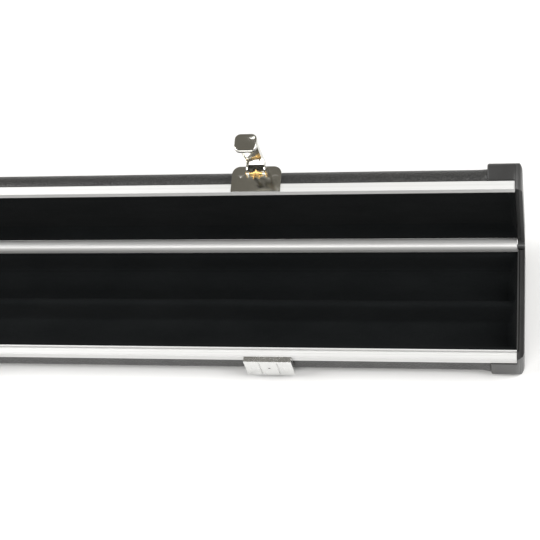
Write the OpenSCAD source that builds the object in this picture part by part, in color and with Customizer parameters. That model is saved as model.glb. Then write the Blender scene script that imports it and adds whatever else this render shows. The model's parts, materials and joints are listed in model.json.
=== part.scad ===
// Hard cue case for one snooker or pool cue, opened: a base tray and a lid on one long extruded hinge.
// X runs along the case, -Y is the front with the latches, +Y is the hinge side, Z is up.
// The origin is the centre of the base's underside. Sections are drawn about the hinge axis.

/* [Case] */
// Overall length over the end caps
case_l = 1250; // [1240:5:1300]
// Hinge axis to the outer face of the front rails
reach = 127; // [124:0.5:132]
// Depth of the base below the parting plane
base_d = 36.5; // [36:0.5:40]
// Depth of the lid above the parting plane, over its end caps
lid_d = 28.5; // [27.5:0.5:32]
// Angle by which the lid stands open
open_deg = 83; // [60:1:83]
// Thickness of the wooden walls
wall_t = 6; // [5:0.5:6]
// Thickness of the wooden floor and top
floor_t = 4; // [3:0.5:4]
// Thickness of the leatherette covering
skin_t = 0.8; // [0.6:0.1:0.9]
// Gap left between the two rims when closed
rim_gap = 0.3; // [0.2:0.05:0.5]

/* [Rails and hinge] */
// Height of the rails' outer faces
rail_h = 8.5; // [7.5:0.5:10]
// Thickness of the rails' legs
leg_t = 1.2; // [1:0.1:1.4]
// Height of the tongue on the base rim
tongue_h = 2; // [1.5:0.1:2.2]
// Radius of the hinge barrel
barrel_r = 6.1; // [5.8:0.1:6.1]
// Radius of the bore along the barrel
barrel_bore_r = 3.45; // [3.3:0.05:3.5]
// Radial clearance of the bead in the barrel
bead_play = 0.07; // [0.05:0.01:0.1]
// Depth of the hinge rails' legs below the hinge axis
hinge_leg = 15; // [13:0.5:16]

/* [End caps] */
// How far the caps wrap round the sides
cap_wrap = 32; // [28:1:36]
// How far the caps stand proud of the front rail
cap_proud = 1; // [0.8:0.1:1.2]
// Width of the rim on the caps' end walls
cap_rim = 7; // [6.5:0.1:7.5]
// Radius of the caps' upright front corners
cap_corner_r = 9; // [7:0.5:9]
// Radius of the caps' long lower edges
cap_edge_r = 7; // [6:0.5:7]

/* [Latches] */
// Distance of each latch from its end of the case
latch_from_end = 249; // [200:1:280]
// Width of the latch plate and of the keeper
plate_w = 48; // [44:0.5:50]
// Height of the latch plate
plate_h = 26.6; // [25:0.1:27]
// Width of the lever
lever_w = 18; // [17:0.5:19]
// Height of the keeper's front face
keeper_h = 29.5; // [27:0.5:30]
// How far the keeper's front face stands off the rail
keeper_off = 5.9; // [5.5:0.1:6.2]
// Radius of the lever's pivot pin
pin_r = 1; // [0.9:0.05:1]
// Angle by which an open lever leans back past the plate's normal
lever_lean = 0; // [0:0.5:6]

/* [Handle] */
// Distance between the two handle pivots
handle_span = 116; // [110:1:124]
// Distance from the handle pivots to the middle of the grip
handle_reach = 36; // [34:1:38]
// Height of the handle pivots above the underside
handle_z = 22; // [21:0.5:22]
// Half thickness of the grip
grip_r = 8; // [7:0.5:8]

/* [Hidden] */
$fn = 48;
half = case_l / 2;
eps = 0.05;
rim_z = rim_gap / 2;
axis_y = 62.25;
axis_z = base_d;
// Faces measured from the hinge axis
skin_front = -(reach - leg_t);
board_front = skin_front + skin_t;
inner_front = board_front + wall_t;
rail_in = inner_front + leg_t;
cap_front = -(reach + cap_proud);
skin_back = 2.5;
board_back = skin_back - skin_t;
inner_back = board_back - wall_t;
cap_back = 4;
lid_skin_d = lid_d - 2;
// Lengths
rail_end = half - 6.8;
barrel_end = half - 7.8;
cap_in = half - cap_wrap;
board_end = half - 3;
end_in = half - cap_rim + 0.3;
lining_end = half - cap_rim - 0.05;
screw_in = end_in + 0.1;
base_skin_r = 13;
lid_skin_r = 15.5;
hinge_top = barrel_r + 0.5;
web_t = 1.6;
fit = 0.02;
rail_rim_t = 2.5;
// Latch pivot: off the rail's face, and up from the rim
latch_x = half - latch_from_end;
piv_n = 3.3;
piv_d = 18.4;
lever_off = 10;
apron_d = 3.1;
hook_gap = 0.8;
pad_w = 21;
pad_z = [-4, 14.2];
pad_t = 4.6;
sheet_t = 1;
keeper_t = 1.2;
rivet_r = 1.5;
pad_in = piv_n + piv_d + keeper_h + hook_gap;
pad_out = pad_in + pad_t;
lug_x = 7;
rim_t = 3;
lid_rim_t = 5.2;
lid_web = 4.2;
cap_floor = 2.5;
// Bed and lining
floor_top = base_d - skin_t - floor_t;
lid_top = lid_skin_d - skin_t - floor_t;
bed_mid = -61.6;
bed_half = 52.1;
bed_depth = floor_top - 0.9;
bed_slope = 7;
ridge_depth = 9.5;
ridge_top = 3;
ridge_foot = 10;
lining_t = 1;
foam_end = lining_end - lining_t - eps - fit;
foam_gap = lining_t + fit;
lining_top = 1.8;
lid_lining_top = 2.6;
lid_bed_depth = 16;
lid_bed_slope = 5;
bed_back = inner_back - leg_t - fit;
hinge_clear_y = inner_back - leg_t - 3;
// Hinge neck of the base, slot of the barrel, and neck of the lid's barrel with the case closed
neck_dir = 290;
neck_w = 2.2;
slot_a0 = 268;
slot_step = 127 / 6;
lid_neck_dir = 110;
// Handle
handle_drop = handle_z - grip_r - 0.3;
handle_tilt = asin(handle_drop / handle_reach);
handle_n = 7;
handle_pin_r = 2;

// ---- Placing ----

// Puts a piece drawn about the hinge axis into the base.
module in_base() {
  translate([0, axis_y, axis_z]) children();
}

// Puts a piece drawn about the hinge axis, with the case closed, into the open lid.
module in_lid() {
  translate([0, axis_y, axis_z]) rotate([-open_deg, 0, 0]) children();
}

// Draws a Y-Z section along X.
module run(x0, x1) {
  translate([x0, 0, 0]) rotate([90, 0, 90]) linear_extrude(x1 - x0) children();
}

// Draws an X-Z outline from y0 towards -Y.
module sheet(y0, t) {
  translate([0, y0, 0]) rotate([90, 0, 0]) linear_extrude(t) children();
}

// The same piece at the right end, or mirrored at the left end.
module at_end(side) {
  if (side > 0) children();
  else mirror([1, 0, 0]) children();
}

// A rod along X.
module rod(x0, x1, r, y = 0, z = 0) {
  translate([x0, y, z]) rotate([0, 90, 0]) cylinder(h = x1 - x0, r = r);
}

// A rod along -Y, starting at y0.
module pin_y(x, y0, len, r, z) {
  translate([x, y0, z]) rotate([90, 0, 0]) cylinder(h = len, r = r);
}

// ---- Sections ----

// A tray's outline from the parting plane down, with its two lower corners rounded.
module tray2d(front, back, depth, r) {
  intersection() {
    union() {
      translate([front, -depth + r]) square([back - front, depth - r]);
      translate([front + r, -depth]) square([back - front - 2 * r, depth]);
      for (y = [front + r, back - r]) translate([y, -depth + r]) circle(r);
    }
    translate([front - 1, -depth - 1]) square([back - front + 2, depth + 1]);
  }
}

// The same for the lid, which opens downwards when closed.
module dome2d(front, back, depth, r) {
  mirror([0, 1]) tray2d(front, back, depth, r);
}

// A cap's plan outline, with front corners rounded by rf and back corners by rb.
module plan2d(front, back, x_end, rf, rb) {
  translate([-x_end, front + rf]) square([2 * x_end, back - front - rf - rb]);
  translate([-x_end + rf, front]) square([2 * (x_end - rf), rf + eps]);
  translate([-x_end + rb, back - rb - eps]) square([2 * (x_end - rb), rb + eps]);
  for (s = [-1, 1]) {
    translate([s * (x_end - rf), front + rf]) circle(rf);
    translate([s * (x_end - rb), back - rb]) circle(rb);
  }
}

// Cuts away everything above z inside the y range.
module above(y0, y1, z, x0 = -half - 5, x1 = half + 5) {
  translate([x0, y0, z]) cube([x1 - x0, y1 - y0, 60]);
}

// Cuts away everything below z inside the y range.
module below(y0, y1, z, x0 = -half - 5, x1 = half + 5) {
  translate([x0, y0, z - 60]) cube([x1 - x0, y1 - y0, 60]);
}

// ---- Fastener positions ----

screw_y = [-95, -30];
base_screw_z = -18;
lid_screw_z = 14;
hinge_rivet_n = 8;
hinge_rivet_step = (case_l - 130) / (hinge_rivet_n - 1);
hinge_rivet_x = [for (i = [0:hinge_rivet_n - 1]) (i - (hinge_rivet_n - 1) / 2) * hinge_rivet_step];
hinge_rivet_z = 12.3;
keeper_rivet_x = [-15, 0, 15];
keeper_rivet_z = -14;
latch_rivet_x = 18;
latch_rivet_d = 15;

// The screws themselves, or their holes when grow is more than 0, which open into the case.
module cap_screws_at(z, grow) {
  x0 = grow > 0 ? screw_in - 1 : screw_in;
  for (side = [-1, 1]) at_end(side) for (y = screw_y) {
    rod(x0, half - 0.9, 1.5 + grow, y, z);
    rod(x0, screw_in + 1.5 + grow, 3 + grow, y, z);
  }
}

module hinge_rivets_at(z, grow) {
  for (x = hinge_rivet_x) pin_y(x, cap_back - 0.3 + fit, 5, rivet_r + grow, z);
}

module keeper_rivets_at(side, grow) {
  for (x = keeper_rivet_x) pin_y(side * latch_x + x, -reach + 5, 6, rivet_r + grow, keeper_rivet_z);
}

module latch_rivets_at(side, grow) {
  for (s = [-1, 1]) pin_y(side * latch_x + s * latch_rivet_x, -reach + 5, 6, rivet_r + grow, latch_rivet_d);
}

module handle_rivets_at(side, grow) {
  for (s = [-1, 1])
    pin_y(side * handle_span / 2 + s * 8, skin_front + 4, 5 + sheet_t, rivet_r + grow, handle_z - axis_z);
}

// ---- Base ----

// The base's wood as one rounded block, drilled for its fasteners. Each board is a slice of it.
module base_wood() {
  difference() {
    intersection() {
      run(-board_end, board_end) tray2d(board_front, board_back, base_d - skin_t, base_skin_r - skin_t);
      translate([0, 0, -60]) linear_extrude(60)
        plan2d(board_front, board_back, board_end, cap_corner_r - 3, 2);
    }
    above(-200, inner_front + eps, -rail_rim_t);
    above(inner_back - eps, 50, -hinge_top - web_t);
    for (side = [-1, 1]) at_end(side) {
      above(-200, 50, -rim_t, rail_end, half);
      below(-200, 50, -base_d + cap_floor, cap_in - 0.1, half);
      rod(half - 12, half + 12, hinge_top + 0.6);
    }
    cap_screws_at(base_screw_z, fit);
    hinge_rivets_at(-hinge_rivet_z, fit);
    keeper_rivets_at(1, fit);
    keeper_rivets_at(-1, fit);
    handle_rivets_at(1, fit);
    handle_rivets_at(-1, fit);
  }
}

// What a board keeps of its block: everything inside the two corners.
module slice(from, to) {
  intersection() {
    translate(from) cube(to - from);
    children();
  }
}

module base_floor_board() color([0.2, 0.16, 0.12]) in_base()
  slice([-half, inner_front, -base_d], [half, inner_back, -floor_top]) base_wood();
module base_front_board() color([0.2, 0.16, 0.12]) in_base()
  slice([-half, board_front - 1, -base_d], [half, inner_front, 0]) base_wood();
module base_back_board() color([0.2, 0.16, 0.12]) in_base()
  slice([-half, inner_back, -base_d], [half, board_back + 1, 0]) base_wood();
module base_end_board_left() color([0.2, 0.16, 0.12]) in_base()
  slice([-half, inner_front, -floor_top], [-end_in, inner_back, 0]) base_wood();
module base_end_board_right() color([0.2, 0.16, 0.12]) in_base()
  slice([end_in, inner_front, -floor_top], [half, inner_back, 0]) base_wood();

// Grained leatherette over the front, underside and back, between the caps.
module base_cover() color([0.2, 0.2, 0.2]) in_base() difference() {
  run(-cap_in + 0.1, cap_in - 0.1) difference() {
    tray2d(skin_front, skin_back, base_d, base_skin_r);
    tray2d(board_front, board_back, base_d - skin_t, base_skin_r - skin_t);
  }
  above(-200, board_front + 9, -2.5);
  above(board_back - 9, 50, -hinge_top - web_t);
  hinge_rivets_at(-hinge_rivet_z, fit);
  keeper_rivets_at(1, fit);
  keeper_rivets_at(-1, fit);
  handle_rivets_at(1, fit);
  handle_rivets_at(-1, fit);
}

// The bed's section between the walls, with a step under the hinge barrel.
module base_bed2d() {
  polygon([
    [rail_in + fit, -lining_top], [hinge_clear_y, -lining_top], [hinge_clear_y, -hinge_top],
    [bed_back, -hinge_top], [bed_back, -floor_top + fit], [rail_in + fit, -floor_top + fit]
  ]);
}

// The hollow of the base: two cue troughs side by side with a ridge between them, grown by g all round.
module base_hollow2d(g = 0) {
  polygon([
    [bed_mid - bed_half - g, 5], [bed_mid - bed_half - g, -lining_top],
    [bed_mid - bed_half + bed_slope - g, -bed_depth - g], [bed_mid - ridge_foot + g, -bed_depth - g],
    [bed_mid - ridge_top + g, -ridge_depth - g], [bed_mid + ridge_top - g, -ridge_depth - g],
    [bed_mid + ridge_foot - g, -bed_depth - g], [bed_mid + bed_half - bed_slope + g, -bed_depth - g],
    [bed_mid + bed_half + g, -lining_top], [bed_mid + bed_half + g, 5]
  ]);
}

// A foam strip of the base between y0 and y1, below top.
module base_foam(y0, y1, top) color([0.12, 0.12, 0.13]) in_base()
  run(-foam_end, foam_end) intersection() {
    difference() {
      base_bed2d();
      base_hollow2d(foam_gap);
    }
    translate([y0, -base_d]) square([y1 - y0, base_d + top]);
  }
module base_foam_front() base_foam(rail_in, bed_mid - ridge_foot, 0);
module base_foam_ridge() base_foam(bed_mid - ridge_foot, bed_mid + ridge_foot, 0);
module base_foam_back() base_foam(bed_mid + ridge_foot, 0, -hinge_top);

// Velvet lining of the base, with its end panels.
module base_lining() color([0.08, 0.09, 0.1]) in_base() {
  run(-lining_end + lining_t, lining_end - lining_t) intersection() {
    base_bed2d();
    difference() {
      base_hollow2d(lining_t);
      base_hollow2d();
    }
  }
  for (side = [-1, 1]) at_end(side) run(lining_end - lining_t - eps, lining_end) base_bed2d();
}

// Extruded front rail: outer leg, ridged rim with a groove, and the tongue that keeps the lid in line.
module base_front_rail() color("silver") in_base() difference() {
  run(-rail_end, rail_end) difference() {
    union() {
      translate([-reach, -rail_h]) square([reach + rail_in, rail_h - rim_z]);
      translate([inner_front - 0.2, -rim_z - eps]) square([rail_in - inner_front + 0.2, tongue_h + eps]);
    }
    translate([skin_front - fit, -rail_h - 1])
      square([inner_front - skin_front + 2 * fit, rail_h + 1 - rail_rim_t]);
    translate([-reach + 1, -rim_z - 0.5]) square([4.6, 1]);
    translate([inner_front - 1.3, -rim_z - 1]) square([1.1, 2]);
  }
}

// Extruded hinge rail: channel over the back wall, with a neck and bead that the barrel turns on.
module base_hinge_rail() color("silver") in_base() difference() {
  union() {
    run(-barrel_end + 0.3, barrel_end - 0.3) {
      circle(barrel_bore_r - bead_play);
      rotate(neck_dir) translate([0, -neck_w / 2]) square([7.6, neck_w]);
    }
    run(-rail_end, rail_end) translate([0, -hinge_top]) mirror([0, 1]) hinge_channel2d();
  }
  hinge_rivets_at(-hinge_rivet_z, fit);
}

// The channel that both hinge rails have over the back walls, from the web outwards.
module hinge_channel2d() {
  difference() {
    translate([inner_back - leg_t, 0]) square([skin_back - inner_back + 2 * leg_t, hinge_leg - hinge_top]);
    translate([inner_back - fit, web_t]) square([skin_back - inner_back + 2 * fit, hinge_leg]);
  }
}

// The block that a cap is made from, rounded along its edges and corners.
module cap_block(depth) {
  intersection() {
    run(cap_in, half) dome2d(cap_front, cap_back, depth, cap_edge_r);
    linear_extrude(60) plan2d(cap_front, cap_back, half, cap_corner_r, 3);
    translate([0, 50, 0]) rotate([90, 0, 0]) linear_extrude(250) dome2d(-half, half, depth, cap_edge_r);
  }
}

// A cap without its rim detail: the block less the boards, the rails and the inside of the case.
module cap_body(depth, board_d, board_r, rim_depth, floor_z) {
  difference() {
    cap_block(depth);
    intersection() {
      run(cap_in - 1, board_end) dome2d(board_front, board_back, board_d, board_r);
      translate([0, 0, rim_depth]) linear_extrude(floor_z - rim_depth)
        plan2d(board_front, board_back, board_end, cap_corner_r - 3, 2);
    }
    translate([cap_in - 1, inner_front, -1])
      cube([half - cap_rim - cap_in + 1, inner_back - inner_front, rim_depth + 2]);
    translate([cap_in - 1, -150, -1]) cube([rail_end + 0.15 - cap_in + 1, 150 + rail_in + eps, rail_h + 1.7]);
    translate([cap_in - 1, inner_back - 3, -1]) cube([rail_end + 0.15 - cap_in + 1, 20, hinge_leg + 1.6]);
  }
}

// Moulded end cap of the base, with a tongue and grooves along its rim and a notch round the hinge.
module base_cap() {
  tongue_w = 1.4;
  tongue_back = -hinge_top - 2;
  ledge_d = 1.6;
  groove_d = 1.3;
  rim_in = half - cap_rim;
  difference() {
    union() {
      mirror([0, 0, 1]) cap_body(base_d, base_d - skin_t, base_skin_r - skin_t, rim_t, base_d - cap_floor);
      translate([rim_in, rail_in, -rim_t]) cube([tongue_w, tongue_back - rail_in, rim_t + tongue_h - rim_z]);
    }
    above(-200, 50, -rim_z, rim_in + tongue_w, half + 5);
    above(-200, rail_in, -rim_z, cap_in - 5, half + 5);
    translate([rim_in + tongue_w, inner_front - 0.2, -rim_z - ledge_d]) cube([1, reach - 9, 2]);
    translate([half - cap_rim / 2, cap_front + 3.6, -rim_z - groove_d]) cube([2.6, reach - 4, 2]);
    rod(half - 20, half + 5, hinge_top - 0.4);
    cap_screws_at(base_screw_z, fit);
  }
}
module base_cap_left() color([0.16, 0.16, 0.16]) in_base() at_end(-1) base_cap();
module base_cap_right() color([0.16, 0.16, 0.16]) in_base() at_end(1) base_cap();

// Screws from inside the end boards into the caps, hidden by the lining.
module base_cap_screws() color("silver") in_base() cap_screws_at(base_screw_z, 0);

// Rivets along the back leg of the base's hinge rail.
module base_hinge_rivets() color("silver") in_base() hinge_rivets(-hinge_rivet_z);

module hinge_rivets(z) {
  for (x = hinge_rivet_x) {
    pin_y(x, cap_back - 0.3, 4.6, rivet_r, z);
    translate([x, cap_back - 0.3, z]) rivet_head(-1);
  }
}

// A low domed rivet head towards -Y, or towards +Y with dir = -1.
module rivet_head(dir = 1, r = 2.6, h = 0.9) {
  dome_r = (r * r + h * h) / (2 * h);
  rotate([dir * 90, 0, 0]) intersection() {
    translate([0, 0, h - dome_r]) sphere(dome_r);
    cylinder(h = h, r = r);
  }
}

// Folded keeper: a back plate on the wall, a top flange, and a front face that the lever hooks under.
module keeper() {
  front = -reach - keeper_off;
  open_foot = 6;
  groove = 0.9;
  difference() {
    union() {
      difference() {
        translate([-plate_w / 2, front, -keeper_h]) cube([plate_w, keeper_off - fit, keeper_h - rim_z - 0.2]);
        translate([-plate_w / 2 + sheet_t, front + keeper_t, -keeper_h - 1])
          cube([plate_w - 2 * sheet_t, keeper_off - keeper_t - sheet_t, keeper_h + 0.8 - rim_z - keeper_t]);
        translate([-plate_w / 2 - 1, front + keeper_t, -keeper_h - 1]) cube([plate_w + 2, 10, open_foot + 1]);
      }
      for (x = keeper_rivet_x) pin_y(x, skin_front - fit, leg_t + 0.2, 3, keeper_rivet_z);
    }
    for (s = [-1, 1]) {
      translate([s * lever_w / 2, front, -keeper_h - 1]) rotate([0, 0, 45])
        translate([-groove / 2, -groove / 2, 0]) cube([groove, groove, keeper_h - 1.5]);
      translate([s * plate_w / 2, front - 1, -keeper_h]) rotate([0, 45, 0]) cube([3, 6, 3], center = true);
    }
    pin_y(0, front + 2, 4, 1, -keeper_h / 2);
    for (x = keeper_rivet_x) pin_y(x, -reach + 5, 8, rivet_r + fit, keeper_rivet_z);
  }
}
module keeper_left() color([0.75, 0.75, 0.74]) in_base() translate([-latch_x, 0, 0]) keeper();
module keeper_right() color([0.75, 0.75, 0.74]) in_base() translate([latch_x, 0, 0]) keeper();

// Rivets that hold both keepers' back plates to the front wall.
module keeper_rivets() color("silver") in_base() for (side = [-1, 1], x = keeper_rivet_x)
  translate([side * latch_x + x, 0, keeper_rivet_z]) {
    pin_y(0, -reach + 5 - fit, 6 - fit, rivet_r, 0);
    translate([0, -reach - 1, 0]) rivet_head();
  }

// ---- Lid ----

// The lid's wood as one rounded block, upside down over the base when closed.
module lid_wood() {
  difference() {
    intersection() {
      run(-board_end, board_end) dome2d(board_front, board_back, lid_skin_d - skin_t, lid_skin_r - skin_t);
      linear_extrude(60) plan2d(board_front, board_back, board_end, cap_corner_r - 3, 2);
    }
    below(-200, inner_front + eps, lid_web);
    below(inner_back - eps, 50, hinge_top + web_t);
    for (side = [-1, 1]) at_end(side) {
      below(-200, 50, lid_rim_t, rail_end, half);
      rod(half - 12, half + 12, hinge_top + 0.6);
    }
    cap_screws_at(lid_screw_z, fit);
    hinge_rivets_at(hinge_rivet_z, fit);
    latch_rivets_at(1, fit);
    latch_rivets_at(-1, fit);
  }
}

module lid_top_board() color([0.2, 0.16, 0.12]) in_lid()
  slice([-half, inner_front, lid_top], [half, inner_back, lid_skin_d]) lid_wood();
module lid_front_board() color([0.2, 0.16, 0.12]) in_lid()
  slice([-half, board_front - 1, 0], [half, inner_front, lid_skin_d]) lid_wood();
module lid_back_board() color([0.2, 0.16, 0.12]) in_lid()
  slice([-half, inner_back, 0], [half, board_back + 1, lid_skin_d]) lid_wood();
module lid_end_board_left() color([0.2, 0.16, 0.12]) in_lid()
  slice([-half, inner_front, 0], [-end_in, inner_back, lid_top]) lid_wood();
module lid_end_board_right() color([0.2, 0.16, 0.12]) in_lid()
  slice([end_in, inner_front, 0], [half, inner_back, lid_top]) lid_wood();

// Grained leatherette over the lid, between the caps.
module lid_cover() color([0.14, 0.14, 0.14]) in_lid() difference() {
  run(-cap_in + 0.1, cap_in - 0.1) difference() {
    dome2d(skin_front, skin_back, lid_skin_d, lid_skin_r);
    dome2d(board_front, board_back, lid_skin_d - skin_t, lid_skin_r - skin_t);
  }
  below(-200, board_front + 9, lid_web);
  below(board_back - 9, 50, hinge_top + web_t);
  hinge_rivets_at(hinge_rivet_z, fit);
  latch_rivets_at(1, fit);
  latch_rivets_at(-1, fit);
}

// The lining's section between the lid's walls, with a step over the hinge barrel.
module lid_bed2d() {
  polygon([
    [rail_in + fit, lid_lining_top], [hinge_clear_y, lid_lining_top], [hinge_clear_y, hinge_top],
    [bed_back, hinge_top], [bed_back, lid_top - fit], [rail_in + fit, lid_top - fit]
  ]);
}

// The hollow of the lid, grown by g all round.
module lid_hollow2d(g = 0) {
  polygon([
    [bed_mid - bed_half - g, -5], [bed_mid - bed_half - g, lid_lining_top],
    [bed_mid - bed_half + lid_bed_slope - g, lid_bed_depth + g],
    [bed_mid + bed_half - lid_bed_slope + g, lid_bed_depth + g],
    [bed_mid + bed_half + g, lid_lining_top], [bed_mid + bed_half + g, -5]
  ]);
}

// A foam strip of the lid between two corners of its section.
module lid_foam(from, to) color([0.12, 0.12, 0.13]) in_lid()
  run(-foam_end, foam_end) intersection() {
    difference() {
      lid_bed2d();
      lid_hollow2d(foam_gap);
    }
    translate(from) square(to - from);
  }
module lid_foam_top() lid_foam([rail_in, lid_bed_depth + foam_gap], [0, lid_top]);
module lid_foam_front() lid_foam([rail_in, 0], [bed_mid, lid_bed_depth + foam_gap]);
module lid_foam_back() lid_foam([bed_mid, hinge_top], [0, lid_bed_depth + foam_gap]);

// Velvet lining of the lid, with its end panels.
module lid_lining() color([0.08, 0.09, 0.1]) in_lid() {
  run(-lining_end + lining_t, lining_end - lining_t) intersection() {
    lid_bed2d();
    difference() {
      lid_hollow2d(lining_t);
      lid_hollow2d();
    }
  }
  for (side = [-1, 1]) at_end(side) run(lining_end - lining_t - eps, lining_end) lid_bed2d();
}

// Extruded front rail of the lid, with the rebate that takes the base rail's tongue.
module lid_front_rail() color("silver") in_lid() run(-rail_end, rail_end) difference() {
  union() {
    translate([-reach, rim_z]) square([reach + rail_in, lid_web - rim_z]);
    translate([-reach, rim_z]) square([leg_t - fit, rail_h - rim_z]);
    translate([inner_front + fit, lid_web - eps]) square([leg_t - fit, rail_h - lid_web]);
  }
  translate([inner_front - 0.7, -1]) square([8, 1 + tongue_h + 0.5]);
}

// A point outside the barrel at angle a.
function slot_ray(a) = 2 * barrel_r * [cos(a), sin(a)];

// Extruded hinge rail of the lid, whose open barrel runs the length of the case.
module lid_hinge_rail() color("silver") in_lid() difference() {
  union() {
    run(-barrel_end, barrel_end) {
      difference() {
        circle(barrel_r);
        circle(barrel_bore_r);
        polygon(concat([[0, 0]], [for (i = [0:6]) slot_ray(slot_a0 + i * slot_step)]));
      }
      rotate(lid_neck_dir) translate([barrel_bore_r + 1.5, -1.6]) square([3, 3.2]);
    }
    run(-rail_end, rail_end) translate([0, hinge_top]) hinge_channel2d();
  }
  hinge_rivets_at(hinge_rivet_z, fit);
}

// Moulded end cap of the lid, with the rebate for the base's tongue and a boss on the hinge axis.
module lid_cap() {
  rebate_w = 4.6;
  rebate_h = tongue_h + 2.4;
  boss_r = 5;
  difference() {
    union() {
      cap_body(lid_d, lid_skin_d - skin_t, lid_skin_r - skin_t, lid_rim_t, lid_d);
      rod(half - cap_rim + 0.1, half - 0.6, boss_r);
    }
    difference() {
      below(-200, 50, rim_z, cap_in - 5, half + 5);
      rod(half - 20, half + 5, boss_r + 0.5);
    }
    translate([half - cap_rim - 1, -reach + 3, -1]) cube([rebate_w, reach - hinge_top - 4, 1 + rebate_h]);
    cap_screws_at(lid_screw_z, fit);
  }
}
module lid_cap_left() color([0.12, 0.12, 0.12]) in_lid() at_end(-1) lid_cap();
module lid_cap_right() color([0.12, 0.12, 0.12]) in_lid() at_end(1) lid_cap();

module lid_cap_screws() color("silver") in_lid() cap_screws_at(lid_screw_z, 0);
module lid_hinge_rivets() color("silver") in_lid() hinge_rivets(hinge_rivet_z);

// ---- Latches ----

// The plate's outline: square at the rim, round at its far corners.
module plate2d() {
  r = 8;
  translate([-plate_w / 2, rim_z + fit]) square([plate_w, plate_h - r - rim_z]);
  translate([-plate_w / 2 + r, rim_z + fit]) square([plate_w - 2 * r, plate_h - rim_z - fit]);
  for (s = [-1, 1]) translate([s * (plate_w / 2 - r), plate_h - r]) circle(r);
}

// Latch plate on the lid's front, with the two lugs that carry the lever's pin.
module latch_plate() {
  difference() {
    union() {
      sheet(-reach - fit, sheet_t) plate2d();
      for (s = [-1, 1]) pin_y(s * latch_rivet_x, skin_front - fit, leg_t + 0.2, 3.2, latch_rivet_d);
      for (s = [-1, 1]) run(s * lug_x - 0.5, s * lug_x + 0.5) {
        translate([-reach - piv_n, piv_d - 2.2]) square([piv_n - 0.5, 4.4]);
        translate([-reach - piv_n, piv_d]) circle(2.2);
      }
    }
    rod(-10, 10, pin_r + fit, -reach - piv_n, piv_d);
    latch_holes();
  }
}
module latch_holes() {
  for (s = [-1, 1]) {
    pin_y(s * latch_rivet_x, -reach + 5, 6.5, rivet_r + fit, latch_rivet_d);
    pin_y(s * latch_rivet_x, -reach - sheet_t + 0.5, 2, 2.4 + fit, latch_rivet_d);
  }
}
module latch_plate_left() color("silver") in_lid() translate([-latch_x, 0, 0]) latch_plate();
module latch_plate_right() color("silver") in_lid() translate([latch_x, 0, 0]) latch_plate();

// Flush rivets that hold both plates.
module latch_rivets() color("silver") in_lid() for (side = [-1, 1], s = [-1, 1])
  translate([side * latch_x + s * latch_rivet_x, 0, 0]) {
    pin_y(0, -reach + 5 - fit, 5.6, rivet_r, latch_rivet_d);
    pin_y(0, -reach - sheet_t + 0.5 - fit, 0.5, 2.4, latch_rivet_d);
  }

// Pivot pin with riveted-over ends.
module latch_pin() {
  rod(-lever_w / 2 - 0.8, lever_w / 2 + 0.8, pin_r, -reach - piv_n, piv_d);
  for (s = [-1, 1]) at_end(s) rod(lever_w / 2 + 0.1, lever_w / 2 + 0.8, 1.8, -reach - piv_n, piv_d);
}
module latch_pin_left() color([0.8, 0.62, 0.3]) in_lid() translate([-latch_x, 0, 0]) latch_pin();
module latch_pin_right() color([0.8, 0.62, 0.3]) in_lid() translate([latch_x, 0, 0]) latch_pin();

// Torsion spring round the pin, in two groups of turns.
module latch_spring() {
  for (s = [-1, 1], i = [0:2]) translate([s * (0.8 + i), -reach - piv_n, piv_d]) rotate([0, 90, 0])
    rotate_extrude() translate([pin_r + 0.55, 0]) circle(0.47, $fn = 24);
}
module latch_spring_left() color([0.8, 0.62, 0.3]) in_lid() translate([-latch_x, 0, 0]) latch_spring();
module latch_spring_right() color([0.8, 0.62, 0.3]) in_lid() translate([latch_x, 0, 0]) latch_spring();

// Lever: a web behind the pivot with an apron down to the spring, two ears, side flanges and the hooked pad.
module latch_lever() {
  web_z = piv_d + lever_off;
  web_n = 2.6;
  flange = 3;
  ear_foot = piv_n - 2;
  apron_n = ear_foot + (web_n - ear_foot) * apron_d / lever_off;
  translate([0, -reach - piv_n, piv_d]) rotate([-lever_lean, 0, 0]) translate([0, reach + piv_n, -piv_d]) {
    translate([-lever_w / 2, -reach - pad_out, web_z - sheet_t]) cube([lever_w, pad_out - web_n, sheet_t]);
    for (s = [-1, 1]) {
      x0 = s * (lever_w / 2 - sheet_t / 2) - sheet_t / 2;
      translate([x0, -reach - pad_out, web_z - flange]) cube([sheet_t, pad_out - 8, flange]);
      difference() {
        run(x0, x0 + sheet_t) {
          side_view([[web_n, web_z], [13, web_z], [13, web_z - flange], [9, web_z - 5],
            [piv_n + 2, piv_d], [ear_foot, piv_d]]);
          translate([-reach - piv_n, piv_d]) circle(2);
        }
        rod(-20, 20, pin_r + 0.06, -reach - piv_n, piv_d);
      }
    }
    run(-lever_w / 2 + sheet_t - 0.3, lever_w / 2 - sheet_t + 0.3)
      side_view([[web_n + 0.1, web_z - 0.3], [web_n + 0.9, web_z - 0.3],
        [apron_n + 0.9, piv_d + apron_d], [apron_n + 0.1, piv_d + apron_d]]);
    run(-pad_w / 2, pad_w / 2) translate([0, piv_d])
      side_view([[pad_in, pad_z[0]], [pad_in, pad_z[1]], [pad_in + 3, pad_z[1]],
        [pad_out, pad_z[1] - 1.3], [pad_out, pad_z[0] + 1.3], [pad_in + 3.2, pad_z[0]]]);
  }
}

// A Y-Z outline whose points say how far off the front rails' face they are, and how high.
module side_view(points) {
  polygon([for (p = points) [-reach - p[0], p[1]]]);
}
module latch_lever_left() color("silver") in_lid() translate([-latch_x, 0, 0]) latch_lever();
module latch_lever_right() color("silver") in_lid() translate([latch_x, 0, 0]) latch_lever();

// ---- Handle ----

// Places a piece drawn about the handle's pivots, with the grip straight out, at its rest tilt.
module in_handle() {
  translate([0, axis_y + skin_front - handle_n, handle_z]) rotate([handle_tilt, 0, 0]) children();
}

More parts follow.
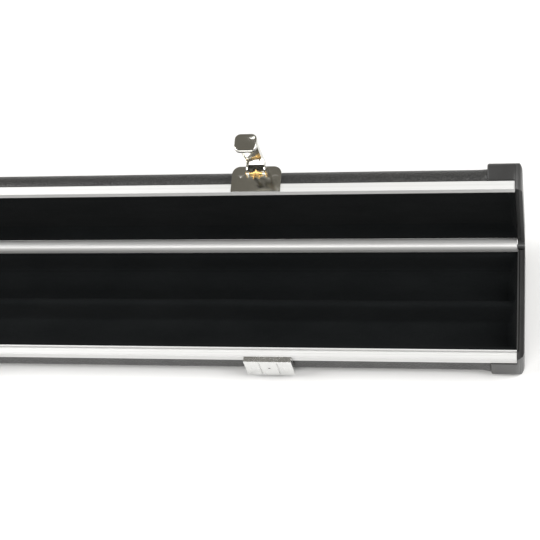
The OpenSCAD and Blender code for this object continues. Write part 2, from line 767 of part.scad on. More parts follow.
// Bracket: a foot on the wall and two lugs that carry the pin.
module handle_bracket(side) {
  x = side * handle_span / 2;
  difference() {
    union() {
      translate([x - 11, skin_front - fit - sheet_t, handle_z - axis_z - 6]) cube([22, sheet_t, 12]);
      for (s = [-1, 1]) run(x + s * 4 - 0.6, x + s * 4 + 0.6) {
        translate([skin_front - handle_n, handle_z - axis_z - 4]) square([handle_n - 0.5, 8]);
        translate([skin_front - handle_n, handle_z - axis_z]) circle(4);
      }
    }
    rod(x - 10, x + 10, handle_pin_r + fit, skin_front - handle_n, handle_z - axis_z);
    handle_rivets_at(side, fit);
  }
}
module handle_bracket_left() color("silver") in_base() handle_bracket(-1);
module handle_bracket_right() color("silver") in_base() handle_bracket(1);

module handle_bracket_rivets() color("silver") in_base() for (side = [-1, 1], s = [-1, 1])
  translate([side * handle_span / 2 + s * 8, 0, handle_z - axis_z]) {
    pin_y(0, skin_front + 4 - fit, 5, rivet_r, 0);
    translate([0, skin_front - fit - sheet_t, 0]) rivet_head(1, 2.4, 1);
  }

module handle_pin(side) {
  rod(side * handle_span / 2 - 5.4, side * handle_span / 2 + 5.4, handle_pin_r,
    skin_front - handle_n, handle_z - axis_z);
}
module handle_pin_left() color("silver") in_base() handle_pin(-1);
module handle_pin_right() color("silver") in_base() handle_pin(1);

// Metal end of the handle: an eye on the pin and an arm to the grip.
module handle_end(side) {
  x = side * handle_span / 2;
  difference() {
    union() {
      rod(x - 2.9, x + 2.9, 3.6);
      translate([x - 2.9, -handle_reach - 4, -2.6]) cube([5.8, handle_reach + 4, 5.2]);
      translate([side > 0 ? x - 9 : x, -handle_reach - 4, -2.6]) cube([9, 8, 5.2]);
    }
    rod(x - 4, x + 4, handle_pin_r + 0.06);
  }
}
module handle_end_left() color("silver") in_handle() handle_end(-1);
module handle_end_right() color("silver") in_handle() handle_end(1);

// Moulded grip between the two ends.
module handle_grip() color([0.1, 0.1, 0.1]) in_handle() difference() {
  run(-handle_span / 2 + 3.2, handle_span / 2 - 3.2) translate([-handle_reach, 0]) intersection() {
    circle(grip_r);
    square([2 * grip_r, 1.8 * grip_r], center = true);
  }
  for (side = [-1, 1]) at_end(side)
    translate([handle_span / 2 - 9 - fit, -handle_reach - 4 - fit, -2.6 - fit])
      cube([9 + 2 * fit, 8 + 2 * fit, 5.2 + 2 * fit]);
}

base_floor_board();
base_front_board();
base_back_board();
base_end_board_left();
base_end_board_right();
base_cover();
base_foam_front();
base_foam_ridge();
base_foam_back();
base_lining();
base_front_rail();
base_hinge_rail();
base_cap_left();
base_cap_right();
base_cap_screws();
base_hinge_rivets();
keeper_left();
keeper_right();
keeper_rivets();
lid_top_board();
lid_front_board();
lid_back_board();
lid_end_board_left();
lid_end_board_right();
lid_cover();
lid_foam_top();
lid_foam_front();
lid_foam_back();
lid_lining();
lid_front_rail();
lid_hinge_rail();
lid_cap_left();
lid_cap_right();
lid_cap_screws();
lid_hinge_rivets();
latch_plate_left();
latch_plate_right();
latch_rivets();
latch_pin_left();
latch_pin_right();
latch_spring_left();
latch_spring_right();
latch_lever_left();
latch_lever_right();
handle_bracket_left();
handle_bracket_right();
handle_bracket_rivets();
handle_pin_left();
handle_pin_right();
handle_end_left();
handle_end_right();
handle_grip();
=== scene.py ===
import json
import math

import bmesh
import bpy
import numpy as np
from mathutils import Matrix, Vector, noise

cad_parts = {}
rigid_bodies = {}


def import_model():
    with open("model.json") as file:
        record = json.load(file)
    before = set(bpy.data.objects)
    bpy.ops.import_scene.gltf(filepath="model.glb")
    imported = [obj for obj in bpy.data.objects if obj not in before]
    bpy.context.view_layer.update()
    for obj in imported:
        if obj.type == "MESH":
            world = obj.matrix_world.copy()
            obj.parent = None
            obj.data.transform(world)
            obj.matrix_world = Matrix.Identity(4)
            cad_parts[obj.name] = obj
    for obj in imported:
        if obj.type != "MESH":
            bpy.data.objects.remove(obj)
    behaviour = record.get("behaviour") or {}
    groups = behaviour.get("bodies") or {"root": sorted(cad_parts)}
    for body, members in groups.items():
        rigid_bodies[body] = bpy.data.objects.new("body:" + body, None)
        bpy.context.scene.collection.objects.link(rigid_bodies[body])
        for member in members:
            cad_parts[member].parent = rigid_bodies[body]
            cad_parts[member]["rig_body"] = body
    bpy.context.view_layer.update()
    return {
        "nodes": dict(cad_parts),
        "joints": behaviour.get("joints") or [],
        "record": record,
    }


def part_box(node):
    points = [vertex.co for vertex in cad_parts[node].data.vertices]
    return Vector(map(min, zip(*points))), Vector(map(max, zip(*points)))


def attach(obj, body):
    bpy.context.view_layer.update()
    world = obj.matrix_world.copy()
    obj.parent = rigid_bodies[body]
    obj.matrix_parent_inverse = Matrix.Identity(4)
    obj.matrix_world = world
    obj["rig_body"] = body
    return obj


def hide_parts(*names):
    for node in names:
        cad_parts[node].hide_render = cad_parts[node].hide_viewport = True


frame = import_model()

# ---------------------------------------------------------------- the frame

MM = 0.001
nodes = frame["nodes"]
joints = {j["name"]: j for j in frame["joints"]}
slot_of = {s["node"]: s["material_slot"] for s in frame["record"]["subparts"]}

hinge = Vector(joints["lid_hinge"]["pos_m"])
open_angle = math.radians(joints["lid_hinge"]["range_deg"][1])
PLACE = {"base": Matrix.Translation(hinge),
         "lid": Matrix.Translation(hinge) @ Matrix.Rotation(-open_angle, 4, "X")}


def section(node, body):
    """A node's box in millimetres about the hinge axis, with the case closed."""
    back = PLACE[body].inverted()
    points = np.array([back @ v.co for v in nodes[node].data.vertices]) / MM
    return points.min(0), points.max(0)


# ---------------------------------------------------------------- node materials

class Shade:
    """A Principled material with short calls for the nodes that feed it."""

    def __init__(self, name, **sockets):
        self.mat = bpy.data.materials.new(name)
        self.mat.use_nodes = True
        self.tree = self.mat.node_tree
        self.bsdf = self.tree.nodes["Principled BSDF"]
        for socket, value in sockets.items():
            self.bsdf.inputs[socket.replace("_", " ")].default_value = value
        self.coord = self.add("ShaderNodeTexCoord").outputs["Object"]

    def add(self, kind, **settings):
        node = self.tree.nodes.new(kind)
        for key, value in settings.items():
            setattr(node, key, value)
        return node

    def link(self, a, b):
        self.tree.links.new(a, b)

    def stretch(self, sx, sy, sz):
        m = self.add("ShaderNodeMapping")
        m.inputs["Scale"].default_value = (sx, sy, sz)
        self.link(self.coord, m.inputs["Vector"])
        return m.outputs["Vector"]

    def noise(self, scale, detail=4.0, rough=0.55, vector=None):
        n = self.add("ShaderNodeTexNoise")
        n.inputs["Scale"].default_value = scale
        n.inputs["Detail"].default_value = detail
        n.inputs["Roughness"].default_value = rough
        self.link(vector or self.coord, n.inputs["Vector"])
        return n.outputs["Fac"]

    def cells(self, scale, smooth=0.0):
        v = self.add("ShaderNodeTexVoronoi", feature="SMOOTH_F1" if smooth else "F1")
        v.inputs["Scale"].default_value = scale
        if smooth:
            v.inputs["Smoothness"].default_value = smooth
        self.link(self.coord, v.inputs["Vector"])
        return v.outputs["Distance"]

    def span(self, value, low, high, to_low, to_high):
        m = self.add("ShaderNodeMapRange")
        limits = {"From Min": low, "From Max": high, "To Min": to_low, "To Max": to_high}
        for socket, number in limits.items():
            m.inputs[socket].default_value = number
        self.link(value, m.inputs["Value"])
        return m.outputs["Result"]

    def maths(self, kind, a, b):
        m = self.add("ShaderNodeMath", operation=kind)
        self.link(a, m.inputs[0])
        self.link(b, m.inputs[1])
        return m.outputs["Value"]

    def colour(self, factor, low, high):
        """The base colour runs from low to high with the factor."""
        factor_in, low_in, high_in, result = 0, 6, 7, 2
        m = self.add("ShaderNodeMix", data_type="RGBA")
        m.inputs[low_in].default_value = low + (1.0,)
        m.inputs[high_in].default_value = high + (1.0,)
        self.link(factor, m.inputs[factor_in])
        self.link(m.outputs[result], self.bsdf.inputs["Base Color"])

    def roughness(self, out):
        self.link(out, self.bsdf.inputs["Roughness"])

    def bumped(self, *layers):
        """The finished material, with bumps. Each layer is (height, distance in metres)."""
        normal = None
        for height, distance in layers:
            b = self.add("ShaderNodeBump")
            b.inputs["Strength"].default_value = 1.0
            b.inputs["Distance"].default_value = distance
            self.link(height, b.inputs["Height"])
            if normal:
                self.link(normal, b.inputs["Normal"])
            normal = b.outputs["Normal"]
        self.link(normal, self.bsdf.inputs["Normal"])
        return self.mat


def leatherette():
    """Black grained leatherette: rounded grain cells, fine pores and a little wear in its gloss."""
    s = Shade("leatherette", Roughness=0.45, Specular_IOR_Level=0.6)
    warp = s.noise(260, 2)
    grain = s.cells(560, smooth=0.35)
    fine = s.noise(1900, 3, 0.6)
    s.colour(s.span(grain, 0.1, 0.7, 0, 1), (0.034, 0.034, 0.033), (0.014, 0.014, 0.014))
    s.roughness(s.span(s.noise(35, 5), 0.3, 0.7, 0.38, 0.5))
    return s.bumped((grain, 0.0003), (warp, 0.00025), (fine, 0.00006))


def velvet():
    """Short black pile: almost no gloss, slightly uneven where it has been brushed."""
    s = Shade("velvet", Roughness=1.0, Specular_IOR_Level=0.03, Sheen_Weight=0.012, Sheen_Roughness=0.5)
    pile = s.noise(2600, 4, 0.7)
    brushed = s.noise(26, 4, 0.6, s.stretch(0.5, 1, 1))
    tone = s.maths("MULTIPLY", s.span(pile, 0.3, 0.7, 0.4, 1.6), s.span(brushed, 0.3, 0.7, 0.8, 1.2))
    s.colour(s.span(tone, 0.3, 1.9, 0, 1), (0.0026, 0.0032, 0.0034), (0.0115, 0.0125, 0.013))
    return s.bumped((pile, 0.0004), (s.noise(300, 3), 0.0003))


def foam():
    """Black open-cell foam."""
    s = Shade("foam", Roughness=0.95)
    s.colour(s.noise(1500, 3), (0.006, 0.006, 0.007), (0.014, 0.014, 0.015))
    return s.bumped((s.cells(1400), 0.0004))


def plywood():
    """Plywood stained black, with its grain along the case."""
    s = Shade("plywood", Roughness=0.7)
    grain = s.noise(60, 6, 0.6, s.stretch(0.08, 1, 1))
    s.colour(s.span(grain, 0.3, 0.7, 0, 1), (0.012, 0.01, 0.009), (0.03, 0.024, 0.019))
    return s.bumped((grain, 0.0002))


def extrusion():
    """Satin anodised aluminium with the die's fine lines along the case."""
    s = Shade("anodised_rail", Metallic=0.3, Roughness=0.4, Specular_IOR_Level=0.5)
    lines = s.noise(900, 3, 0.6, s.stretch(0.0003, 1, 1))
    mottle = s.noise(40, 4)
    s.colour(s.span(lines, 0.3, 0.7, 0, 1), (0.53, 0.53, 0.525), (0.62, 0.62, 0.615))
    s.roughness(s.maths("ADD", s.span(lines, 0.3, 0.7, 0.38, 0.46), s.span(mottle, 0.3, 0.7, -0.02, 0.02)))
    return s.bumped((lines, 0.000008))


def moulded(name, grey):
    """Moulded plastic, satin, with a fine spark and a slightly uneven gloss."""
    s = Shade(name, Roughness=0.4, Specular_IOR_Level=0.5)
    spark = s.noise(2400, 3, 0.6)
    wide = s.noise(30, 4)
    s.colour(s.span(wide, 0.3, 0.7, 0, 1), (grey * 0.85,) * 3, (grey * 1.15,) * 3)
    s.roughness(s.span(wide, 0.3, 0.7, 0.28, 0.38))
    return s.bumped((spark, 0.00004), (wide, 0.0001))


def plated(name, tint, rough):
    """Plated or polished metal, a little smeared."""
    haze = 0.05
    s = Shade(name, Metallic=1.0, Roughness=rough)
    smear = s.noise(70, 5, 0.6)
    fine = s.noise(1300, 2, 0.5, s.stretch(1, 0.15, 1))
    dark = tuple(c * 0.9 for c in tint)
    s.colour(s.span(smear, 0.3, 0.7, 0, 1), dark, tint)
    s.roughness(s.span(smear, 0.35, 0.7, rough, rough + haze))
    return s.bumped((fine, 0.00001))


def floor_paint():
    s = Shade("floor_white", Roughness=0.75, Specular_IOR_Level=0.2)
    s.colour(s.noise(3, 2), (0.735, 0.735, 0.732), (0.75, 0.75, 0.747))
    return s.bumped((s.noise(900, 2), 0.00002))


MATERIALS = {
    "wood": plywood(),
    "leatherette": leatherette(),
    "foam": foam(),
    "velvet": velvet(),
    "rail_aluminium": extrusion(),
    "screw_steel": plated("zinc_steel", (0.56, 0.56, 0.55), 0.32),
    "cap_plastic": moulded("moulded_black", 0.03),
    "rivet_steel": plated("rivet_plate", (0.72, 0.72, 0.71), 0.28),
    "keeper_plate": plated("keeper_nickel", (0.66, 0.66, 0.65), 0.24),
    "latch_chrome": plated("latch_nickel", (0.66, 0.65, 0.61), 0.09),
    "latch_brass": plated("latch_brass", (0.83, 0.58, 0.24), 0.2),
    "grip_plastic": moulded("grip_black", 0.028),
    "handle_chrome": plated("handle_nickel", (0.74, 0.74, 0.73), 0.12),
}


# ---------------------------------------------------------------- pieces

def stand_for(obj, node):
    """Gives a piece the material, the body and the slot of the CAD node it stands for."""
    slot = slot_of[node]
    obj.data.materials.clear()
    obj.data.materials.append(MATERIALS[slot])
    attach(obj, nodes[node]["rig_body"])
    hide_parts(node)


def mesh_object(name, bm, smooth_angle=35):
    """A new object with the mesh, smooth except at edges that turn by more than the angle."""
    bmesh.ops.recalc_face_normals(bm, faces=bm.faces)
    mesh = bpy.data.meshes.new(name)
    bm.to_mesh(mesh)
    bm.free()
    mesh.shade_smooth()
    mesh.set_sharp_from_angle(angle=math.radians(smooth_angle))
    obj = bpy.data.objects.new(name, mesh)
    bpy.context.scene.collection.objects.link(obj)
    return obj


def welded(node):
    """A CAD node's mesh with its doubled points joined."""
    bm = bmesh.new()
    bm.from_mesh(nodes[node].data)
    bmesh.ops.remove_doubles(bm, verts=bm.verts, dist=3e-6)
    return bm


def join_flat_faces(bm):
    bmesh.ops.dissolve_limit(bm, angle_limit=math.radians(0.5), verts=bm.verts, edges=bm.edges)


def cleaned(node):
    """A CAD node's mesh without doubled points, slivers or edges inside its flat faces."""
    bm = welded(node)
    bmesh.ops.dissolve_degenerate(bm, dist=1e-6, edges=bm.edges)
    join_flat_faces(bm)
    return bm


def cut_away(bm, point, direction):
    """Removes what lies past the point in that direction, and closes the cut."""
    everything = bm.verts[:] + bm.edges[:] + bm.faces[:]
    cut = bmesh.ops.bisect_plane(bm, geom=everything, plane_co=point, plane_no=direction, clear_outer=True)
    bmesh.ops.edgeloop_fill(bm, edges=[e for e in cut["geom_cut"] if isinstance(e, bmesh.types.BMEdge)])
    join_flat_faces(bm)


def break_edges(obj, width_mm, angle_deg, segments=3):
    """Rounds the edges that turn by more than the angle."""
    bevel = obj.modifiers.new("edges", "BEVEL")
    bevel.width = width_mm * MM
    bevel.segments = segments
    bevel.limit_method = "ANGLE"
    bevel.angle_limit = math.radians(angle_deg)
    bevel.harden_normals = True


def rounded(node, width_mm, segments=3):
    """Stands for a CAD node: the same solid, cleaned, with its sharp edges rounded."""
    obj = mesh_object(node + "_finished", cleaned(node))
    break_edges(obj, width_mm, 32, segments)
    stand_for(obj, node)


def soft_cap(half, side, mouth_r, edge_mm):
    """A cap with its mouth's outer edge well rounded, and every other edge just broken."""
    node = f"{half}_cap_{side}"
    lo, hi = section(node, half)
    to_section = PLACE[half].inverted()
    mouth = lo[0] if side == "right" else hi[0]
    sign = 1 if half == "lid" else -1
    depth = hi[2] if half == "lid" else -lo[2]
    touching, near_wall, near_arc = 0.05, 0.2, 0.25
    past_rim, past_rail = 1.0, 9.0
    points = [(to_section @ v.co) / MM for v in nodes[node].data.vertices]
    wall_y = [p.y for p in points if abs(p.x - mouth) < touching and sign * p.z > past_rail]
    front, back = min(wall_y), max(wall_y)
    corners = ((front + mouth_r, depth - mouth_r), (back - mouth_r, depth - mouth_r))

    def outer(v):
        p = (to_section @ v.co) / MM
        d = sign * p.z
        if abs(p.x - mouth) > touching or d < past_rim:
            return False
        if p.y < front + near_wall or p.y > back - near_wall or d > depth - near_wall:
            return True
        return any(math.hypot(p.y - cy, d - cz) > mouth_r - near_arc and d > cz and (p.y < cy) == in_front
                   for in_front, (cy, cz) in zip((True, False), corners))

    bm = cleaned(node)
    rim = [e for e in bm.edges if outer(e.verts[0]) and outer(e.verts[1]) and e.is_manifold
           and e.calc_face_angle(0) > math.radians(60)]
    bmesh.ops.bevel(bm, geom=rim, offset=edge_mm * MM, offset_type="OFFSET", segments=5, profile=0.5,
                    affect="EDGES", clamp_overlap=True)
    obj = mesh_object(node + "_finished", bm)
    break_edges(obj, 0.3, 40)
    stand_for(obj, node)


def join_rings(bm, rings):
    """Faces between each closed ring of points and the next."""
    for a, b in zip(rings, rings[1:]):
        for i in range(len(a)):
            j = (i + 1) % len(a)
            bm.faces.new((a[i], a[j], b[j], b[i]))


def cap_ends(bm, rings):
    """A face on the first ring and one on the last."""
    bm.faces.new(rings[0][::-1])
    bm.faces.new(rings[-1])


def sweep(body, outline, xs, wander=None):
    """A closed Y-Z outline in millimetres about the hinge axis, swept along X, with its ends open."""
    bm = bmesh.new()
    place = PLACE[body]
    rings = []
    for x in xs:
        ring = []
        for y, z in outline:
            dy, dz = wander(x, y, z) if wander else (0, 0)
            ring.append(bm.verts.new(place @ (Vector((x, y + dy, z + dz)) * MM)))
        rings.append(ring)
    join_rings(bm, rings)
    return bm, rings


def steps(a, b, size):
    """Evenly spaced values from a to b, about size apart."""
    return np.linspace(a, b, max(2, int(round(abs(b - a) / size)) + 1))


def dense_ends(a, b, coarse, fine, margin):
    """Values from a to b: fine steps inside each margin, coarse ones between."""
    return np.concatenate([steps(a, a + margin, fine)[:-1], steps(a + margin, b - margin, coarse),
                           steps(b - margin, b, fine)[1:]])


def arc(cy, cz, r, a0, a1, count):
    """Points about a centre, from one angle to another in degrees, both ends included."""
    return [(cy + r * math.cos(math.radians(a)), cz + r * math.sin(math.radians(a)))
            for a in np.linspace(a0, a1, count)]


# ---------------------------------------------------------------- leatherette covers

SKIN_T = 0.8
BACK_TOP = 8.2
FLARE = 1.5
FLARE_LENGTH = 9
FLARE_FROM = 10.5
FLARE_FADE = 4


def tray_skin(node, body, r, front_top):
    """The covering of one half: front wall, rounded edge, flat, rounded edge and back wall.

    It rises a little where it goes under the caps, but not under the rail.
    """
    lo, hi = section(node, body)
    sign = 1 if body == "lid" else -1
    depth = hi[2] if body == "lid" else -lo[2]
    front, back, x_end = lo[1], hi[1], hi[0]

    def path(inset):
        f, b, d, rr = front + inset, back - inset, depth - inset, r - inset
        points = [(f, z) for z in steps(front_top, d - rr, 2.5)[:-1]]
        points += arc(f + rr, d - rr, rr, 180, 90, 14)
        points += [(y, d) for y in steps(f + rr, b - rr, 4)[1:-1]]
        points += arc(b - rr, d - rr, rr, 90, 0, 14)
        points += [(b, z) for z in steps(d - rr, BACK_TOP, 2.5)[1:]]
        return points

    outline = [(y, sign * z) for y, z in path(0) + path(SKIN_T)[::-1]]

    def wander(x, y, z):
        n = noise.noise(Vector((x * 0.012, y * 0.05, z * 0.05 + 7))) * 0.045
        clear_of_rail = min(1.0, max(0.0, (abs(z) - FLARE_FROM) / FLARE_FADE))
        n += FLARE * clear_of_rail * max(0.0, 1 - (x_end - abs(x)) / FLARE_LENGTH) ** 1.5
        outward = -1 if y < (front + back) / 2 else 1
        fade = min(1.0, max(0.0, (depth - abs(z)) / r))
        rise = min(fade, 1 - fade) * 2 * n if abs(z) > depth - r else 0.0
        return (outward * n * fade ** 0.5, sign * rise)

    bm, rings = sweep(body, outline, dense_ends(-x_end, x_end, 12, 1.5, 12), wander)
    half = len(path(0))
    for ring, flip in ((rings[0], False), (rings[-1], True)):
        for i in range(half - 1):
            quad = (ring[i], ring[i + 1], ring[-2 - i], ring[-1 - i])
            bm.faces.new(quad[::-1] if flip else quad)
    stand_for(mesh_object(node + "_skin", bm, 40), node)


tray_skin("base_cover", "base", 13.0, 2.6)
tray_skin("lid_cover", "lid", 15.5, 4.3)


# ---------------------------------------------------------------- velvet linings

def soft_curve(values, spread):
    """The same row of numbers, blurred over spread samples."""
    reach = int(spread * 3) + 1
    kernel = np.exp(-0.5 * (np.arange(-reach, reach + 1) / spread) ** 2)
    kernel /= kernel.sum()
    return np.convolve(np.pad(values, reach, mode="edge"), kernel, mode="valid")


def lining(node, body, height, thickness, back):
    """A velvet sheet over its bed. height(x, y) is the depth of the pile below the parting plane."""
    lo, hi = section(node, body)
    hi[1] = back
    sign = 1 if body == "lid" else -1
    x_end = hi[0]
    xs = dense_ends(-x_end, x_end, 7, 0.7, 14)
    ys = dense_ends(lo[1], hi[1], 1.1, 0.5, 7)
    place = PLACE[body]
    bm = bmesh.new()

    def vertex(x, y, extra):
        z = sign * (height(x, y, x_end, lo[1], hi[1]) + extra)
        return bm.verts.new(place @ (Vector((x, y, z)) * MM))

    upper, under = ([[vertex(x, y, extra) for y in ys] for x in xs] for extra in (0.0, thickness))
    for rows in (upper, under):
        for i in range(len(xs) - 1):
            for j in range(len(ys) - 1):
                quad = (rows[i][j], rows[i + 1][j], rows[i + 1][j + 1], rows[i][j + 1])
                bm.faces.new(quad if rows is upper else quad[::-1])
    rim = [(i, 0) for i in range(len(xs))] + [(len(xs) - 1, j) for j in range(1, len(ys))]
    rim += [(i, len(ys) - 1) for i in range(len(xs) - 2, -1, -1)]
    rim += [(0, j) for j in range(len(ys) - 2, 0, -1)]
    for (i, j), (k, m) in zip(rim, rim[1:] + rim[:1]):
        bm.faces.new((upper[i][j], under[i][j], under[k][m], upper[k][m]))
    obj = mesh_object(node + "_velvet", bm, 180)
    stand_for(obj, node)


# The beds' cross-sections, front to back, as (Y, depth) in millimetres, just above the foam they lie on.
FRONT_EDGE = 1.4
HINGE_EDGE = 5.6
LID_EDGE = 2.1
RIDGE_Y, RIDGE_TOP = -61.6, 8.9
TROUGH_FLOOR, TROUGH_BACK = 30.3, -16.6
LID_FLOOR = 15.4
BASE_BED = ((-118, FRONT_EDGE), (-112.4, FRONT_EDGE), (-106.6, TROUGH_FLOOR), (-71.8, TROUGH_FLOOR),
            (-64.9, RIDGE_TOP), (-58.3, RIDGE_TOP), (-51.4, TROUGH_FLOOR), (TROUGH_BACK, TROUGH_FLOOR),
            (-10.9, HINGE_EDGE), (5, HINGE_EDGE))
LID_BED = ((-118, LID_EDGE), (-112.6, LID_EDGE), (-108.2, LID_FLOOR), (-15, LID_FLOOR),
           (-10.9, 5.7), (-7, 5.5), (-4.6, 5.2), (5, 5.1))
# Each trough's outer wall curves into its floor, as a bowl this deep and this wide from its middle.
BOWL_DEPTH, BOWL_HALF = 29.6, 26.0
profile_y = np.arange(-125.0, 10.0, 0.25)
bed = np.interp(profile_y, *zip(*BASE_BED))
from_ridge = np.abs(profile_y - RIDGE_Y)
across = np.abs(from_ridge - BOWL_HALF) / BOWL_HALF
bowl = FRONT_EDGE + (BOWL_DEPTH - FRONT_EDGE) * np.clip(1 - across ** 2.3, 0, 1) ** 0.6
outer_side = (from_ridge >= BOWL_HALF) & (profile_y <= TROUGH_BACK)
base_profile = soft_curve(np.where(outer_side, np.minimum(bowl, bed), bed), 5.2)
lid_profile = soft_curve(np.interp(profile_y, *zip(*LID_BED)), 4.8)
EDGE_FADE = 14.0


def end_rise(x, x_end, depth):
    """0 at the end board's face, 1 clear of its rounded foot, which is wider where the bed is deeper."""
    against_board = 0.9
    foot = 2.0 + 3.2 * depth / 12.0
    t = min(1.0, max(0.0, (x_end - abs(x) - against_board) / foot))
    return (1 - (1 - t) ** 2.6) ** 0.55 if t > 0 else 0.0


def rim_depth(y, front):
    """The depth of the lining's edge at an end board: lower beside the hinge."""
    depths = (front, HINGE_EDGE, HINGE_EDGE, HINGE_EDGE - 0.4)
    return float(np.interp(y, (-13.0, -10.5, -7.0, -4.0), depths))


def ridge_shift(x):
    """The hand-laid ridge isn't quite straight: it bends once, and again near the case's end."""
    bend_x, bend_length = 345, 16
    tail_x, tail_length = 560, 60
    settle = 1 / (1 + math.exp(-(abs(x) - bend_x) / bend_length))
    tail = max(0.0, (abs(x) - tail_x) / tail_length) ** 2
    wander = noise.noise(Vector((x * 0.011, 3.1, 0))) * 0.4
    return 0.8 - 1.2 * settle - 0.5 * tail + wander


def hand_laid(x, y, wide, fine):
    """A lining's unevenness. wide and fine are (X frequency, Y frequency, seed, height in mm)."""
    return sum(noise.noise(Vector((x * fx, y * fy, seed))) * height for fx, fy, seed, height in (wide, fine))


def base_depth(x, y, x_end, y0, y1):
    ridge_reach = 46
    edge = min(1.0, min(y - y0, y1 - y) / EDGE_FADE)
    shifted = y - ridge_shift(x) * edge * max(0.0, 1 - abs(y - RIDGE_Y) / ridge_reach)
    z = float(np.interp(shifted, profile_y, base_profile))
    z += hand_laid(x, y, (0.02, 0.06, 0, 0.55), (0.07, 0.12, 5, 0.2)) * edge
    rim = rim_depth(y, FRONT_EDGE)
    return rim + (z - rim) * end_rise(x, x_end, z)


def lid_depth(x, y, x_end, y0, y1):
    edge = min(1.0, min(y - y0, y1 - y) / EDGE_FADE)
    z = float(np.interp(y, profile_y, lid_profile))
    z += hand_laid(x, y, (0.018, 0.05, 9, 0.6), (0.06, 0.1, 2, 0.18)) * edge
    rim = rim_depth(y, LID_EDGE)
    return rim + (z - rim) * end_rise(x, x_end, z)


lining("base_lining", "base", base_depth, 0.6, -5.55)
lining("lid_lining", "lid", lid_depth, 0.35, -3.75)


# ---------------------------------------------------------------- latches

PAD_DEPTH = 4.7
PAD_RADIUS = 5.4
# The pad's rings, from its back to its face: (Y from its back or face, inset, cut in its corner radius).
PAD_BACK = ((0.3, 1.5, 1.2), (-0.2, 0.55, 0.5), (-0.8, 0.08, 0.0), (-2.0, 0.0, 0.0))
PAD_FACE = ((1.0, 0.03, 0.0), (0.5, 0.2, 0.2), (0.15, 0.55, 0.5),
            (0.0, 1.1, 0.9), (0.02, 1.7, 1.3), (0.15, 2.1, 1.6))
WIRE_R = 0.47
COIL_R = 1.55
COIL_TURNS = 2.25
COIL_INNER_X, COIL_OUTER_X = 0.8, 2.8
COIL_START = 200
STEPS_PER_TURN = 20


def latch_frame(side):
    """The lever's own frame: X along the pin, -Y out along the open lever, +Z towards its web."""
    joint = joints[f"latch_{side}"]
    lean = joint["range_deg"][1] - 90
    pin = PLACE["lid"].inverted() @ Vector(joint["pos_m"])
    return PLACE["lid"] @ Matrix.Translation(pin) @ Matrix.Rotation(-math.radians(lean), 4, "X")


def round_rect(half_w, z0, z1, r, steps_per_corner=7):
    """A rounded rectangle's outline in X-Z, anticlockwise from its lower right corner."""
    corners = ((half_w - r, z0 + r, 270), (half_w - r, z1 - r, 0),
               (r - half_w, z1 - r, 90), (r - half_w, z0 + r, 180))
    return [point for x, z, a in corners for point in arc(x, z, r, a, a + 90, steps_per_corner)]


def loft(bm, place, outlines):
    """Closed outlines of equal count, each with its own Y, joined and capped at both ends."""
    rings = [[bm.verts.new(place @ (Vector((x, y, z)) * MM)) for x, z in outline] for y, outline in outlines]
    join_rings(bm, rings)
    cap_ends(bm, rings)


def latch_lever(side):
    """The CAD lever with its edges rounded, and a formed pad with a bevelled rim."""
    node = f"latch_lever_{side}"
    place = latch_frame(side)
    points = np.array([place.inverted() @ v.co for v in nodes[node].data.vertices]) / MM
    middle_x = (points[:, 0].min() + points[:, 0].max()) / 2
    place = place @ Matrix.Translation((middle_x * MM, 0, 0))
    half_w = (points[:, 0].max() - points[:, 0].min()) / 2
    outer = points[:, 1].min()
    pad = points[points[:, 1] < outer + PAD_DEPTH]
    inner, z0, z1 = pad[:, 1].max(), pad[:, 2].min(), pad[:, 2].max()

    bm = welded(node)
    cut_away(bm, place @ Vector((0, (inner + 0.25) * MM, 0)), place.to_3x3() @ Vector((0, -1, 0)))
    rings = [(inner + y, inset, less) for y, inset, less in PAD_BACK]
    rings += [(outer + y, inset, less) for y, inset, less in PAD_FACE]
    loft(bm, place, [(y, round_rect(half_w - inset, z0 + inset, z1 - inset, PAD_RADIUS - less))
                     for y, inset, less in rings])
    obj = mesh_object(node + "_finished", bm, 40)
    break_edges(obj, 0.22, 50)
    stand_for(obj, node)


def wire(bm, place, path, radius):
    """A ten-sided round wire along a path in millimetres."""
    sides = 10
    points = [Vector(p) for p in path]
    rings = []
    normal = None
    for i, point in enumerate(points):
        ahead = (points[min(i + 1, len(points) - 1)] - points[max(i - 1, 0)]).normalized()
        if normal is None:
            normal = ahead.orthogonal().normalized()
        normal = (normal - ahead * normal.dot(ahead)).normalized()
        other = ahead.cross(normal)
        ring = []
        for k in range(sides):
            a = 2 * math.pi * k / sides
            off = radius * (math.cos(a) * normal + math.sin(a) * other)
            ring.append(bm.verts.new(place @ ((point + off) * MM)))
        rings.append(ring)
    join_rings(bm, rings)
    cap_ends(bm, rings)


def latch_spring(side):
    """A double torsion spring: a leg on the plate, coils, a bridge under the web, coils, a leg."""
    node = f"latch_spring_{side}"
    joint = joints[f"latch_{side}"]
    pin = PLACE["lid"].inverted() @ Vector(joint["pos_m"])
    place = PLACE["lid"] @ Matrix.Translation(pin)
    coil = []
    for i in range(int(COIL_TURNS * STEPS_PER_TURN) + 1):
        t = i / STEPS_PER_TURN
        a = math.radians(COIL_START) + 2 * math.pi * t
        x = COIL_OUTER_X + (COIL_INNER_X - COIL_OUTER_X) * t / COIL_TURNS
        coil.append((x, COIL_R * math.cos(a), COIL_R * math.sin(a)))
    first, last = coil[0], coil[-1]
    on_plate = 1.65
    bridge_step = (-0.2, -0.9, 1.3)
    leg = [(first[0], on_plate, first[2] + z) for z in (-4.6, -3.6, -2.7, -1.8)]
    bridge = [tuple(c + step * k for c, step in zip(last, bridge_step)) for k in (1, 2, 3)]
    right_half = leg + coil + bridge
    path = right_half + [(-x, y, z) for x, y, z in right_half[::-1]]
    bm = bmesh.new()
    wire(bm, place, path, WIRE_R)
    stand_for(mesh_object(node + "_wire", bm, 60), node)


# ---------------------------------------------------------------- the hinge barrel

